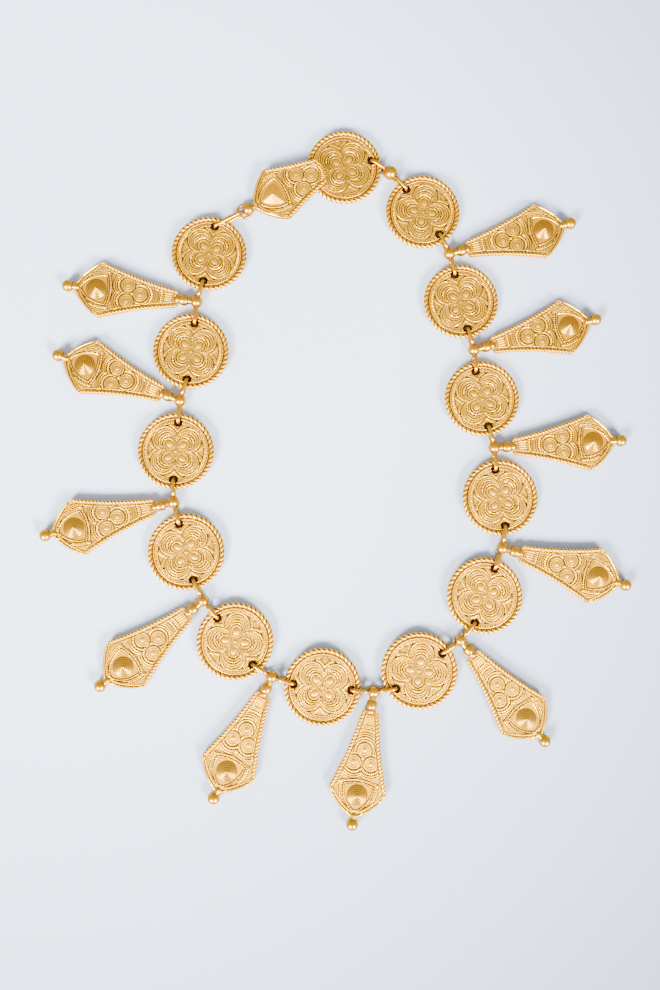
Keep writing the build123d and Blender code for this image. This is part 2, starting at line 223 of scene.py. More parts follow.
rim_cuts = [Cut(9.8, 0.7), Cut(11.0, 0.5), Cut(11.62, 0.8)]
rim_cuts_from = 9.6
hole_snap = 0.05
hole_slack = 0.02
hole_draft = 0.55
halo_radius = 1.5
halo_points = 24


def ridge(distance, half_width):
    """A rounded ridge: the square root of 1 less the square of the distance over the half width."""
    return np.sqrt(np.clip(1 - (distance / half_width) ** 2, 0, 1))


def raised(distance, line):
    """A rounded ridge at the line's place, as high as the line says."""
    return line.height * ridge(distance - line.at, line.half_width)


def dome(share):
    """A round top that is 1 in its middle: 1 less the square of the share of its radius."""
    return np.clip(1 - share**2, 0, 1)


def wave(place, pitch):
    """A cosine that goes from 1 to 0 and back once a pitch."""
    return 0.5 + 0.5 * np.cos(2 * np.pi * place / pitch)


def smooth_step(value, low, high):
    """0 below low, 1 above high, and 3 s squared less 2 s cubed between."""
    share = np.clip((value - low) / (high - low), 0, 1)
    return share * share * (3 - 2 * share)


def all_round(count):
    """As many angles as asked for, spread evenly over a whole turn."""
    return np.linspace(0, 2 * np.pi, count, endpoint=False)


def square_quads(rows, columns):
    """The quads of a grid whose points run along the columns first."""
    corner = np.arange(rows)[:, None] * (columns + 1) + np.arange(columns)
    corners = [corner, corner + 1, corner + columns + 2, corner + columns + 1]
    return np.stack(corners, axis=-1).reshape(-1, 4)


def wrapped_quads(rows, sides):
    """The quads of a grid whose columns close up round a tube."""
    quads = square_quads(rows, sides)
    return quads // (sides + 1) * sides + quads % (sides + 1) % sides


def relief_wear_and_shade(height):
    """Each point's wear and painted light, on a square height grid: plain, plus a gain times how far it
    stands out from the mean of the points round it, so that hollows get painted shade and ridges a painted
    highlight, with some patina and wear."""
    mean = height
    for _ in range(smoothing_rounds):
        wide = np.pad(mean, 1, mode="edge")
        mean = (wide[:-2, 1:-1] + wide[2:, 1:-1] + wide[1:-1, :-2] + wide[1:-1, 2:] + 2 * mean) / 6
    proud = (height - mean).ravel()
    return plain + np.where(proud < 0, hollow_shade_gain, ridge_highlight_gain) * proud


def engraved(fields, cuts):
    """For engraved lines that the finish draws. Each field is how far a point lies past one of the lines.
    Gives a number that is whole on every line and runs evenly from each to the next, the millimetres
    between the two, and the depth of the nearest line."""
    fields = np.array([fields[0] + guard, *fields, fields[-1] - guard])
    before = np.clip((fields > 0).sum(axis=0) - 1, 0, len(fields) - 2)[None]
    past = np.take_along_axis(fields, before, axis=0)[0]
    gap = np.maximum(past - np.take_along_axis(fields, before + 1, axis=0)[0], least_gap)
    number = np.clip(before[0] - 1 + past / gap, -0.5, len(cuts) - 0.5)
    nearest = np.clip(np.round(number), 0, len(cuts) - 1).astype(int)
    return np.stack([number, gap, np.array([cut.depth for cut in cuts])[nearest]], axis=-1)


def engraved_at(distance, cuts):
    """The engraved lines that lie at set distances."""
    return engraved([distance - cut.at for cut in cuts], cuts)


def walled(points, quads, worn, etched, floor_height, is_back, on_back=np.zeros((0, 2))):
    """Closes a top surface: a wall goes straight down from each open edge, and a flat back joins the
    walls' feet and the further points that it is given."""
    edges = np.concatenate([quads[:, [0, 1]], quads[:, [1, 2]], quads[:, [2, 3]], quads[:, [3, 0]]])
    edges = edges[edges[:, 0] != edges[:, 1]]
    _, first, count = np.unique(np.sort(edges, axis=1), axis=0, return_index=True, return_counts=True)
    open_edges = edges[first[count == 1]]
    rim = np.unique(open_edges)
    foot_of = np.zeros(len(points), int)
    foot_of[rim] = len(points) + np.arange(len(rim))
    feet = np.concatenate([points[rim], np.column_stack([on_back, np.zeros(len(on_back))])])
    feet[:, 2] = floor_height
    start, end = open_edges[:, 0], open_edges[:, 1]
    walls = np.stack([start, foot_of[start], foot_of[end], end], axis=1)
    joined = np.searchsorted(rim, open_edges)
    flat = geometry.delaunay_2d_cdt(feet[:, :2].tolist(), joined.tolist(), [], 0, 1e-7)
    back = np.array(list(flat[2]))
    middle = feet[back].mean(axis=1)
    back = back[is_back(middle[:, 0], middle[:, 1])][:, ::-1] + len(points)
    return Part(
        points=np.concatenate([points, feet]),
        quads=np.concatenate([quads, walls]),
        worn=np.concatenate([worn, np.full(len(feet), plain)]),
        triangles=back,
        etched=np.concatenate([etched, np.tile(no_line, (len(feet), 1))]),
    )


def twisted_wire(centre, side, radius, pitch, lowest, closed_ring):
    """Two strands twisted: round the tube, its radius falls with a power of the cosine of the angle, and
    the pattern makes half a turn a pitch. An open wire's ends taper."""
    run = np.linalg.norm(np.diff(centre, axis=0), axis=1)
    length = np.concatenate([[0], np.cumsum(run)])
    turns = np.round(length[-1] / pitch)
    around = all_round(rope_sides)
    lobe = np.abs(np.cos(around + np.pi * turns * length[:, None] / length[-1]))
    reach_out = radius * (strand_waist + (1 - strand_waist) * lobe**strand_round)
    if not closed_ring:
        reach_out *= ridge(np.linspace(-1, 1, len(centre)), 1.0)[:, None] ** end_taper
    across = reach_out * np.cos(around)
    x = centre[:, :1] + side[:, :1] * across
    y = centre[:, 1:2] + side[:, 1:2] * across
    z = np.maximum(centre[:, 2:3] + reach_out * np.sin(around), lowest)
    rows = len(centre) - 1 if closed_ring else len(centre)
    points = np.stack([x, y, z], axis=-1)[:rows].reshape(-1, 3)
    quads = wrapped_quads(len(centre) - 1, rope_sides)[:, ::-1] % len(points)
    # The gaps between the strands are painted darker and their crowns lighter: painted shade and a painted
    # highlight, with some wear.
    worn = plain + strand_shade_gain * (lobe[:rows] - strand_plain).ravel()
    return Part(points, quads, worn)


def ring_grid(rings, radii):
    """A square grid bent into rings: ring k has 8 k points, and its corners lie evenly round the circle."""
    i, j = np.meshgrid(np.arange(-rings, rings + 1), np.arange(-rings, rings + 1))
    k = np.maximum(np.abs(i), np.abs(j))
    safe = np.where(k == 0, 1, k)
    angle = np.where(
        np.abs(i) >= np.abs(j),
        np.pi / 4 * j / np.where(i == 0, safe, i) + np.where(i < 0, np.pi, 0),
        np.sign(j) * np.pi / 2 - np.pi / 4 * i / np.where(j == 0, safe, j),
    )
    return radii[k] * np.cos(angle), radii[k] * np.sin(angle)


def from_lobe(x, y, share):
    """How far a point lies outside the nearest of four round lobes. A lobe's middle and radius grow with
    the share, which is 0 for the inner quatrefoil and 1 for the outer one."""
    middle, radius = lobe_start + share * lobe_step
    return np.hypot(np.abs(x) - middle / math.sqrt(2), np.abs(y) - middle / math.sqrt(2)) - radius


def from_boss(x, y):
    """How far a point lies from the nearest of four oval bosses on the diagonals: 0 in its middle and 1
    on its edge, by the root of the squares of its shares of the boss's length and width."""
    along = (np.abs(x) + np.abs(y)) / math.sqrt(2) - boss_distance
    across = (np.abs(x) - np.abs(y)) / math.sqrt(2)
    return np.hypot(along / boss_length, across / boss_width)


def along_lobes(x, y, line):
    """A rounded ridge that follows the lobes."""
    return line.height * ridge(from_lobe(x, y, line.at), line.half_width)


def quatrefoil_relief(x, y):
    """The nested quatrefoils: the highest of their ridges, chevrons and ticks, less the grooves."""
    side_x, side_y = np.abs(x), np.abs(y)
    height = np.zeros_like(x)
    for line in lobe_ridges:
        height = np.maximum(height, along_lobes(x, y, line))
    by_axis = 1 - smooth_step(np.minimum(side_x, side_y), chevron_reach - chevron_fade, chevron_reach)
    for line in chevrons:
        height = np.maximum(height, by_axis * along_lobes(x, y, line))
    tick_middle = (lobe_start[0] + lobe_tick.at * lobe_step[0]) / math.sqrt(2)
    ticks = wave(np.arctan2(side_y - tick_middle, side_x - tick_middle), 2 * np.pi / lobe_ticks)
    in_band = ridge(from_lobe(x, y, lobe_tick.at), lobe_tick.half_width)
    height = np.maximum(height, in_band * (lobe_tick_foot + lobe_tick.height * ticks))
    for line in lobe_grooves:
        height -= along_lobes(x, y, line)
    return height


def tick_band(r, angle):
    """The band inside the rim: ticks as a cosine round it, eased in at both edges."""
    band = smooth_step(r, band_inside + band_step, band_inside + band_step + band_slope)
    band *= 1 - smooth_step(r, band_outside - band_slope, band_outside)
    return band_height * band * (tick_foot + (1 - tick_foot) * wave(angle, 2 * np.pi / band_ticks))


def medallion_relief(x, y, cast):
    """The cast relief, in millimetres over the field. The cast is a number that says where this disc's
    gutter has its deeper flaws, which follow a sum of sines."""
    r = np.hypot(x, y)
    angle = np.arctan2(y, x)
    out_of_boss = from_boss(x, y)
    in_boss_field = from_lobe(x, y, 0) < boss_field
    height = np.where(in_boss_field, raised(out_of_boss, boss_ring), quatrefoil_relief(x, y))
    height = np.maximum(height, boss_dome * dome(out_of_boss))
    height = np.maximum(height, middle_dome * dome(r / middle_radius))
    nearest, farthest = np.minimum(np.abs(x), np.abs(y)), np.maximum(np.abs(x), np.abs(y))
    for bead in axis_beads:
        from_bead = np.hypot(nearest, farthest - bead.at)
        height = np.maximum(height, bead.height * ridge(from_bead, bead.half_width))
    height = np.where(r < band_inside, height, tick_band(r, angle))
    for line in rim_ridges:
        height = np.maximum(height, raised(r, line))
    flaw = sum(one.height * np.sin(one.count * angle + one.shift * cast) for one in flaw_waves)
    deeper = gutter.height + flaw_depth * smooth_step(flaw, flaw_from, flaw_to)
    return height - deeper * ridge(r - gutter.at, gutter.half_width)


def medallion_lines(x, y):
    """The engraved lines: round the four bosses, along the quatrefoils and round the rim. They are
    numbered from the middle outwards, so that no line shows where one region ends and the next begins."""
    r = np.hypot(x, y)
    bosses = engraved([(from_boss(x, y) - cut.at) * boss_width for cut in boss_cuts], boss_cuts)
    lobes = engraved([from_lobe(x, y, cut.at) for cut in lobe_cuts], lobe_cuts)
    rim = engraved_at(r, rim_cuts)
    bosses[..., 0] -= len(boss_cuts)
    rim[..., 0] += len(lobe_cuts)
    lobes = np.where((from_lobe(x, y, 0) < boss_field)[..., None], bosses, lobes)
    return np.where((r > rim_cuts_from)[..., None], rim, lobes)


def off_holes(x, y):
    """Whether a point lies outside both holes."""
    return np.hypot(np.abs(x) - hole_distance, y) > hole_radius * (1 - hole_slack)


def hole_halos():
    """Points on a circle round each hole, which keep the painted shade and patina of its wall off the rest
    of the back.
    """
    around = all_round(halo_points)
    halo = halo_radius * np.stack([np.cos(around), np.sin(around)], axis=1)
    return np.concatenate([halo + [hole_distance, 0], halo - [hole_distance, 0]])


def medallion_disc(cast):
    """The disc: the relief on a ring grid, cut by two holes whose nearest points are drawn onto the
    holes' edges. The holes narrow a little towards the back, and their walls are painted near black:
    painted shade, with some patina."""
    x, y = ring_grid(disc_rings, field_radius * np.linspace(0, 1, disc_rings + 1))
    height = medallion_relief(x, y, cast)
    worn = relief_wear_and_shade(height)
    etched = medallion_lines(x, y).reshape(-1, 3)
    x, y, z = x.ravel(), y.ravel(), field_height + height.ravel()
    quads = square_quads(2 * disc_rings, 2 * disc_rings)
    for middle in (hole_distance, -hole_distance):
        away = np.hypot(x - middle, y)
        inside = away < hole_radius + hole_snap
        quads = quads[~inside[quads].all(axis=1)]
        scale = np.where(inside, hole_radius / np.maximum(away, 1e-6), 1.0)
        x = middle + (x - middle) * scale
        y = y * scale
        z = np.where(inside, field_height, z)
    used, quads = np.unique(quads, return_inverse=True)
    points = np.stack([x, y, z], axis=1)[used]
    quads = quads.reshape(-1, 4)
    made = walled(points, quads, worn[used], etched[used], 0.0, off_holes, hole_halos())
    hole_middle = np.sign(made.points[:, 0]) * hole_distance
    away = np.hypot(made.points[:, 0] - hole_middle, made.points[:, 1])
    in_hole = away < hole_radius * (1 + hole_slack)
    # The holes' walls are painted near black: painted shade from under the disc, with some patina.
    made.worn[in_hole] = grime_and_shade
    foot = in_hole & (made.points[:, 2] == 0)
    made.points[foot, 0] = hole_middle[foot] + hole_draft * (made.points[foot, 0] - hole_middle[foot])
    made.points[foot, 1] *= hole_draft
    return made


def medallion_rope():
    """The twisted wire round the rim, on a circle."""
    angle = np.linspace(0, 2 * np.pi, rope_steps + 1)
    side = np.stack([np.cos(angle), np.sin(angle)], axis=1)
    centre = np.column_stack([side * field_radius, np.full(len(angle), disc_thickness - rope_radius)])
    return twisted_wire(centre, side, rope_radius, rope_pitch, 0.0, True)


# Both finishes are the same gold plate. The castings have a fine grain, painted shade with some patina in
# their hollows and a painted highlight with some wear on their ridges, and the balls, wire and cones are
# smoother and darker where they are seen aslant.
Finish = namedtuple("Finish", "bright middle deep edge rough grain_size grain_depth")
cast_finish = Finish(
    bright=(0.92, 0.45, 0.0),
    middle=(0.68, 0.33, 0.002),
    deep=(0.16, 0.078, 0.016),
    edge=(1.0, 0.68, 0.1),
    rough=0.4,
    grain_size=0.3,
    grain_depth=0.000016,
)
smooth_finish = Finish(
    bright=(0.62, 0.315, 0.01),
    middle=(0.48, 0.238, 0.01),
    deep=(0.15, 0.075, 0.016),
    edge=(0.34, 0.17, 0.03),
    rough=0.27,
    grain_size=0.6,
    grain_depth=0.000006,
)
# The darkest colour, of the hole walls and deepest hollows: painted shade, with some patina.
grime_and_shade_colour = (0.03, 0.013, 0.003)
cloud_scale = 900.0
cloud_share = 0.36
grain_smoothness = 0.6
# How much engraved lines are painted darker: painted shade in the fine grooves, with some patina.
cut_shade = -0.66
cut_bump = 0.0001
cut_middle, cut_edge = 0.05, 0.19
dull_extra = 0.16
crease = 62


def shader_node(tree, kind, inputs, **settings):
    """A shader node with its settings, and its inputs by name or number: each is linked to a socket or set
    to a value."""
    made = tree.nodes.new("ShaderNode" + kind)
    for key, value in settings.items():
        setattr(made, key, value)
    for key, value in inputs.items():
        if isinstance(value, bpy.types.NodeSocket):
            tree.links.new(value, made.inputs[key])
        else:
            made.inputs[key].default_value = value
    return made


def math_step(tree, operation, *values):
    """A Math node on its inputs in turn, each a socket or a number. Gives its result."""
    return shader_node(tree, "Math", dict(enumerate(values)), operation=operation).outputs[0]


def mapped(tree, value, low, high, start, end, way="LINEAR"):
    """A Map Range node, which goes from start to end while the value goes from low to high."""
    inputs = {"Value": value, "From Min": low, "From Max": high, "To Min": start, "To Max": end}
    return shader_node(tree, "MapRange", inputs, interpolation_type=way).outputs["Result"]


def cut_depth(tree):
    """How deep an engraved line is at a point: how far its number is from a whole one, times the gap
    between lines, eased from the line's middle to its edge, times the line's depth."""
    etched = shader_node(tree, "Attribute", {}, attribute_name="etched")
    split = shader_node(tree, "SeparateXYZ", {"Vector": etched.outputs["Vector"]})
    nearest = math_step(tree, "PINGPONG", split.outputs["X"], 0.5)
    away = math_step(tree, "MULTIPLY", nearest, split.outputs["Y"])
    line = mapped(tree, away, cut_middle, cut_edge, 1.0, 0.0, "SMOOTHSTEP")
    return math_step(tree, "MULTIPLY", line, split.outputs["Z"])


def gold(name, finish):
    """Plated metal: the colour goes from painted shade and patina in the deepest hollows to bright on
    ridges, which is wear and a painted highlight, and to the edge's where it is seen aslant. Engraved lines
    are painted darker as painted shade. Noise clouds it, and a fine cell grain is pressed in."""
    material = bpy.data.materials.new(name)
    material.use_nodes = True
    tree = material.node_tree
    shader = tree.nodes["Principled BSDF"]
    shader.inputs["Metallic"].default_value = 1.0
    shader.inputs["Specular Tint"].default_value = (*finish.edge, 1)
    place = shader_node(tree, "TexCoord", {}).outputs["Object"]
    cloud = shader_node(tree, "TexNoise", {"Vector": place, "Scale": cloud_scale, "Detail": 4.0})
    # The attribute read here holds painted shade in hollows and a painted highlight on ridges, with real
    # patina and wear.
    worn = shader_node(tree, "Attribute", {}, attribute_name="worn")
    clouded = math_step(tree, "MULTIPLY_ADD", cloud.outputs["Fac"], cloud_share, worn.outputs["Fac"])
    depth = cut_depth(tree)
    # Painted shade: the engraved lines are painted darker.
    darker = math_step(tree, "MULTIPLY_ADD", depth, cut_shade, clouded)
    ramp = shader_node(tree, "ValToRGB", {"Fac": darker})
    ramp.color_ramp.elements.new(0.3)
    ramp.color_ramp.elements.new(0.6)
    stops = ((0.02, grime_and_shade_colour), (0.26, finish.deep), (0.56, finish.middle), (0.88, finish.bright))
    for stop, (place_on_ramp, colour) in zip(ramp.color_ramp.elements, stops):
        stop.position = place_on_ramp
        stop.color = (*colour, 1)
    tree.links.new(ramp.outputs["Color"], shader.inputs["Base Color"])
    dull = mapped(tree, clouded, 0.2, 0.9, finish.rough + dull_extra, finish.rough)
    tree.links.new(dull, shader.inputs["Roughness"])
    cells = {"Vector": place, "Scale": millimetres / finish.grain_size, "Smoothness": grain_smoothness}
    grain = shader_node(tree, "TexVoronoi", cells, feature="SMOOTH_F1")
    grained = {"Height": grain.outputs["Distance"], "Distance": finish.grain_depth}
    grained = shader_node(tree, "Bump", grained, invert=True)
    cut = {"Height": depth, "Distance": cut_bump, "Normal": grained.outputs["Normal"]}
    cut = shader_node(tree, "Bump", cut, invert=True)
    tree.links.new(cut.outputs["Normal"], shader.inputs["Normal"])
    return material


cast_gold = gold("cast_gold", cast_finish)
smooth_gold = gold("smooth_gold", smooth_finish)


def put_in(name, data):
    """An object that shows this data in the scene."""
    made = bpy.data.objects.new(name, data)
    bpy.context.scene.collection.objects.link(made)
    return made


def piece(name, node, placed_parts):
    """One object for a node: its parts, each moved by its matrix, in one mesh with both finishes."""
    parts = [part for part, _ in placed_parts]
    points = [part.points @ matrix[:3, :3].T + matrix[:3, 3] for part, matrix in placed_parts]
    blank = [np.tile(no_line, (len(part.points), 1)) for part in parts]
    etched = [bare if part.etched is None else part.etched for part, bare in zip(parts, blank)]
    first = np.cumsum([0] + [len(part.points) for part in parts])
    faces = [(part.quads + number).tolist() for part, number in zip(parts, first)]
    faces += [(part.triangles + number).tolist() for part, number in zip(parts, first)]
    finish = np.repeat([int(part.polished) for part in parts] * 2, [len(group) for group in faces])
    mesh = bpy.data.meshes.new(name)
    mesh.from_pydata(np.concatenate(points) / millimetres, [], sum(faces, []))
    mesh.materials.append(cast_gold)
    mesh.materials.append(smooth_gold)
    mesh.polygons.foreach_set("material_index", finish.astype(np.int32))
    worn = np.clip(np.concatenate([part.worn for part in parts]), grime_and_shade, 1)
    shade = mesh.attributes.new("worn", "FLOAT", "POINT").data
    shade.foreach_set("value", worn.astype(np.float32))
    lines = mesh.attributes.new("etched", "FLOAT_VECTOR", "POINT").data
    lines.foreach_set("vector", np.concatenate(etched).astype(np.float32).ravel())
    mesh.shade_smooth()
    mesh.set_sharp_from_angle(angle=math.radians(crease))
    made = put_in(name, mesh)
    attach(made, "root")
    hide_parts(node)


disc_rope = medallion_rope()
for number, (place, angle) in enumerate(zip(disc_middles, disc_angles)):
    node = f"medallion_{number:02d}" if number else "clasp_medallion"
    lay = laid(place, back_height, angle)
    disc = medallion_disc(cast_step * number)
    piece(f"cast_{node}", node, [(disc, lay), (disc_rope, lay)])

# BALLS, WIRE LOOPS AND THE LINK BEAD
# Each ball is soldered to two closed wire loops that stand on edge and pass through the holes of the
# discs beside it. The link bead is a plain one. All are smoother than the castings.
ball_sides = 28
wire_sides = 12
bend_steps = 12
wire_spread = 1.22
wire_worn = 0.6
solder_sink = 0.65
pole = 0.002


def turned(along, radius, sides, worn=0.55):
    """A profile turned about the x axis: each point of the profile becomes a circle of its radius."""
    around = all_round(sides)
    x = np.repeat(along[:, None], sides, axis=1)
    y = radius[:, None] * np.cos(around)
    z = radius[:, None] * np.sin(around)
    points = np.stack([x, y, z], axis=-1).reshape(-1, 3)
    worn = np.full(len(points), worn)
    return Part(points, wrapped_quads(len(along) - 1, sides), worn, polished=True)


def ball(radius):
    """A sphere as a turned half circle, whose poles are tiny circles."""
    angle = np.linspace(0, np.pi, ball_sides // 2 + 1)
    return turned(-radius * np.cos(angle), radius * np.maximum(np.sin(angle), pole), ball_sides)


def tube(centre, side, up, is_loop, radius=wire / 2):
    """A wire: circles carried along a path, on the side and up directions at each of its points."""
    around = all_round(wire_sides)[:, None]
    circle = side[:, None] * np.cos(around) + up[:, None] * np.sin(around)
    points = (centre[:, None] + circle * np.reshape(radius, (-1, 1, 1))).reshape(-1, 3)
    rows = len(centre) if is_loop else len(centre) - 1
    quads = wrapped_quads(rows, wire_sides) % len(points)
    return Part(points, quads, np.full(len(points), wire_worn), polished=True)


def wire_loop(spacing):
    """A closed oval on edge: two straight runs joined by half circles, spacing apart at its ends."""
    half = spacing / 2 - loop_rise
    bend = np.linspace(-np.pi / 2, np.pi / 2, bend_steps + 1)
    outward = np.stack([np.cos(bend), np.zeros(len(bend)), np.sin(bend)], axis=1)
    outward = np.concatenate([outward, -outward])
    middle = np.repeat([[half, 0, 0], [-half, 0, 0]], len(bend), axis=0)
    level = np.tile([0.0, wire_spread, 0.0], (len(outward), 1))
    return tube(middle + loop_rise * outward, outward, level, True)


def loops_of(place, angle, radius):
    """Both loops of a ball lean towards the neck, so that they end in the holes on either side."""
    near = radius + wire / 2 - solder_sink
    loop = wire_loop(reach(radius) - near)
    lean = math.radians(loop_splay)
    shift = shifted((near + reach(radius)) / 2, 0, 0)
    both = (angle - lean, angle + math.pi + lean)
    return [(loop, laid(place, axis_height, turn) @ shift) for turn in both]


def ball_place(number, radius):
    """The ball stands off its connector's line, away from the neck, because the loops lean inwards."""
    sideways = reach(radius) * math.sin(math.radians(loop_splay))
    return ahead(link_middles[2 * number + 1], sideways, link_angles[2 * number + 1] + math.pi / 2)


bead_place = ball_place(0, link_bead_radius)
bead_parts = [(ball(link_bead_radius), laid(bead_place, link_bead_radius, 0))]
bead_parts += loops_of(bead_place, link_angles[1], link_bead_radius)
piece("smooth_link_bead", "link_bead", bead_parts)

# DROPS
# Eleven gold-plated castings that hang from their balls: a neck with a flattened bead, and a long kite
# with twisted wire on its sides, a trefoil of ringed roundels, a shield, a turned cone and a tip ball.
Row = namedtuple("Row", "at half_width pitch")
Boss = namedtuple("Boss", "x y height radius")
Fields = namedtuple("Fields", "x y side_y to_side to_foot from_top from_pair shield")
neck_sides = 24
stem_sides = 20
head_width = 6.4
head_round = 1.2
head_bend_power = 6
plate_width = 20.1
plate_back = back_height - axis_height
plate_top = plate_back + 1.2
plate_rows = 150
plate_columns = 84
side_hollow = 0.75
side_slope = 0.968
shoulder = plate_end - 9.0
shoulder_pull = 0.035
foot_slope = 0.745
foot_bulge = 2.3
foot_round = 0.5
rope_top = plate_top + 0.5
side_rope_radius = 0.7
side_rope_pitch = 1.3
side_rope_steps = 160
side_rope_inset = 0.95
side_rope_end = shoulder + 0.2

bead_height = 0.34
bead_foot = 0.2
head_bars = [Line(8.3, 0.26, 0.26), Line(11.8, 0.28, 0.26), Line(13.2, 0.28, 0.28)]
head_bow = 0.035
bow_from = 10.0
stroke_from, stroke_to = 8.7, 11.4
stroke_pitch = 0.8
stroke_height = 0.14
head_beads = Row(12.5, 0.32, 0.75)

top_place = np.array([20.1, 0.0])
top_arcs = [Line(3.35, 0.28, 0.27), Line(5.05, 0.2, 0.25), Line(5.75, 0.16, 0.25)]
top_beads = Row(4.2, 0.4, 0.72)
arcs_end = top_place[0] + 1.5
pair_place = np.array([24.6, 2.95])
pair_arcs = [Line(4.25, 0.34, 0.3), Line(5.0, 0.24, 0.27)]
pair_groove = Line(3.85, 0.2, 0.2)
pair_beads = Row(3.35, 0.38, 0.66)
pair_inside, pair_outside = 2.8, 5.3
pair_from = pair_place[0] + 0.6
roundel_radius = 2.66
roundel_groove = Line(roundel_radius, 0.2, 0.17)
roundel_field = 0.06
coil_start = 1.4
coil_pitch = 0.81
coil_height = 0.09
coil_round = 0.8
coil_from = 0.8
roundel_dome = 0.26
roundel_dome_radius = 1.1

shield_top = 31.25
shield_corner = (32.2, 5.2)
shield_side = (37.0, 4.25)
shield_foot = 41.4
shield_edge = Line(0.0, 0.38, 0.24)
shield_arcs = [Line(1.3, 0.26, 0.22), Line(2.0, 0.16, 0.24), Line(2.6, 0.16, 0.24)]
shield_arcs_from = shield_top - 0.2
shield_groove = Line(0.33, 0.16, 0.2)
shield_clear = 1.1
rib_count = 52
rib_height = 0.26
rib_inside, rib_outside = 0.36, 1.05
rib_end = shield_foot - 4
cone_place = 35.6
cone_radius = 3.75
cone_height = 1.9
cone_round = 0.94
cone_rings = 56
cone_sides = 40
cone_sink = 0.2
cone_grooves = 6
cone_groove_depth = 0.11
cone_tip = 0.93
cone_worn = 0.74
cone_groove_shade = 5.5
cone_gutter = Line(cone_radius + 0.1, 0.24, 0.16)

relief_from_side = 1.6
relief_from_foot = 1.7
side_groove = Line(1.5, 0.32, 0.22)
side_ridge = Line(1.92, 0.16, 0.22)
side_ridge_from = 7.4
foot_wire = Line(0.5, 0.42, 0.42)
foot_wire_pitch = 0.9
foot_beads = Row(1.38, 0.36, 0.95)
foot_from = shoulder - 1.5
foot_border = 1.75
kite_bosses = [Boss(22.95, 0.0, 0.42, 0.55), Boss(28.3, 0.0, 0.4, 0.5)]
kite_bosses += [Boss(31.7, 6.4, 0.4, 0.5), Boss(28.2, 6.35, 0.3, 0.4)]

head_cuts = [Cut(8.6, 0.3), Cut(11.6, 0.4), Cut(12.9, 0.8)]
top_cuts = [Cut(3.72, 0.8), Cut(4.66, 0.5), Cut(5.45, 0.4)]
top_cuts_end = 6.4
pair_cuts = [Cut(3.84, 0.9), Cut(4.64, 0.6), Cut(5.3, 0.4)]
shield_cuts = [Cut(0.3, 0.9), Cut(1.1, 0.6), Cut(1.7, 0.4)]
roundel_cuts = [Cut(1.0, 0.25), Cut(1.78, 0.3), Cut(2.62, 0.9)]
side_cuts = [Cut(1.5, 0.9)]
side_cuts_end = 1.75
foot_cuts = [Cut(0.95, 0.5), Cut(1.78, 0.7)]
foot_cuts_end = 1.85


def half_width(x):
    """Half the plate's width beside its long sides: a straight line less a parabola of hollow."""
    start = plate_start + head_round
    share = (x - start) / (shoulder - start)
    return head_width / 2 + (plate_width - head_width) / 2 * share - 4 * side_hollow * share * (1 - share)


def foot_edge(share):
    """Where the plate's foot ends, at a share of its half width from the middle: a straight slope, plus a
    bulge that is the share times its rest, to a power that rounds the shoulders."""
    bulge = foot_bulge * (4 * share * (1 - share)).clip(0) ** foot_round
    return shoulder + (plate_end - shoulder) * (1 - share) + bulge


def circle_through(a, b, c):
    """The middle and radius of the circle through three points, from two equations of equal distance."""
    a, b, c = np.array(a), np.array(b), np.array(c)
    middle = np.linalg.solve(2 * np.array([b - a, c - a]), np.array([b @ b - a @ a, c @ c - a @ a]))
    return middle, np.linalg.norm(a - middle)


def shield_field(x, y):
    """How far a point lies outside the shield, which is where three round discs overlap."""
    left = (shield_corner, shield_side, (shield_foot, 0.0))
    right = [(along, -across) for along, across in left]
    top = (left[0], (shield_top, 0.0), right[0])
    discs = [circle_through(*points) for points in (top, left, right)]
    return np.max([np.hypot(x - middle[0], y - middle[1]) - radius for middle, radius in discs], axis=0)


def kite_fields(x, y):
    """How far each point lies inside the plate's sides and foot, from the roundels' middles and outside the
    shield. A border's distance is the one along an axis times the cosine of its slope."""
    side_y = np.abs(y)
    to_side = (half_width(np.clip(x, plate_start, shoulder + 1)) - side_y) * side_slope
    to_foot = (foot_edge(side_y / (plate_width / 2)) - x) * foot_slope
    from_top = np.hypot(x - top_place[0], y)
    from_pair = np.hypot(x - pair_place[0], side_y - pair_place[1])
    return Fields(x, y, side_y, to_side, to_foot, from_top, from_pair, shield_field(x, y))


def bead_row(distance, along, row):
    """A row of beads: a ridge across the row times a cosine along it."""
    beads = bead_foot + (1 - bead_foot) * wave(along, row.pitch)
    return bead_height * ridge(distance - row.at, row.half_width) * beads


def head_relief(at, height):
    """Bars across the head, strokes between the first two, and a row of beads. The last bars and the
    beads are bowed by a parabola."""
    bow = head_bow * at.y * at.y
    for line in head_bars:
        height = np.maximum(height, raised(at.x - bow * (line.at > bow_from), line))
    strokes = stroke_height * wave(at.y, stroke_pitch) * (at.x > stroke_from) * (at.x < stroke_to)
    return np.maximum(np.maximum(height, strokes), bead_row(at.x - bow, at.y, head_beads))


def arc_relief(at, height):
    """Arcs round the upper side of the top roundel, with a row of beads between them."""
    above = at.x < arcs_end
    for line in top_arcs:
        height = np.maximum(height, raised(at.from_top, line) * above)
    fan = np.arctan2(at.y, top_place[0] - at.x)
    return np.maximum(height, bead_row(at.from_top, fan * top_beads.at, top_beads) * above)


def scallop_relief(at, height):
    """Arcs and beads round the lower side of the pair of roundels, less a groove."""
    turn = np.arctan2(at.side_y - pair_place[1], at.x - pair_place[0])
    scallops = bead_row(at.from_pair, turn * pair_beads.at, pair_beads)
    for line in pair_arcs:
        scallops = np.maximum(scallops, raised(at.from_pair, line))
    scallops = scallops - raised(at.from_pair, pair_groove)
    below = (at.x > pair_from) & (at.shield > shield_clear)
    in_ring = (at.from_pair > pair_inside) & (at.from_pair < pair_outside)
    return np.where(below & in_ring, scallops, height)


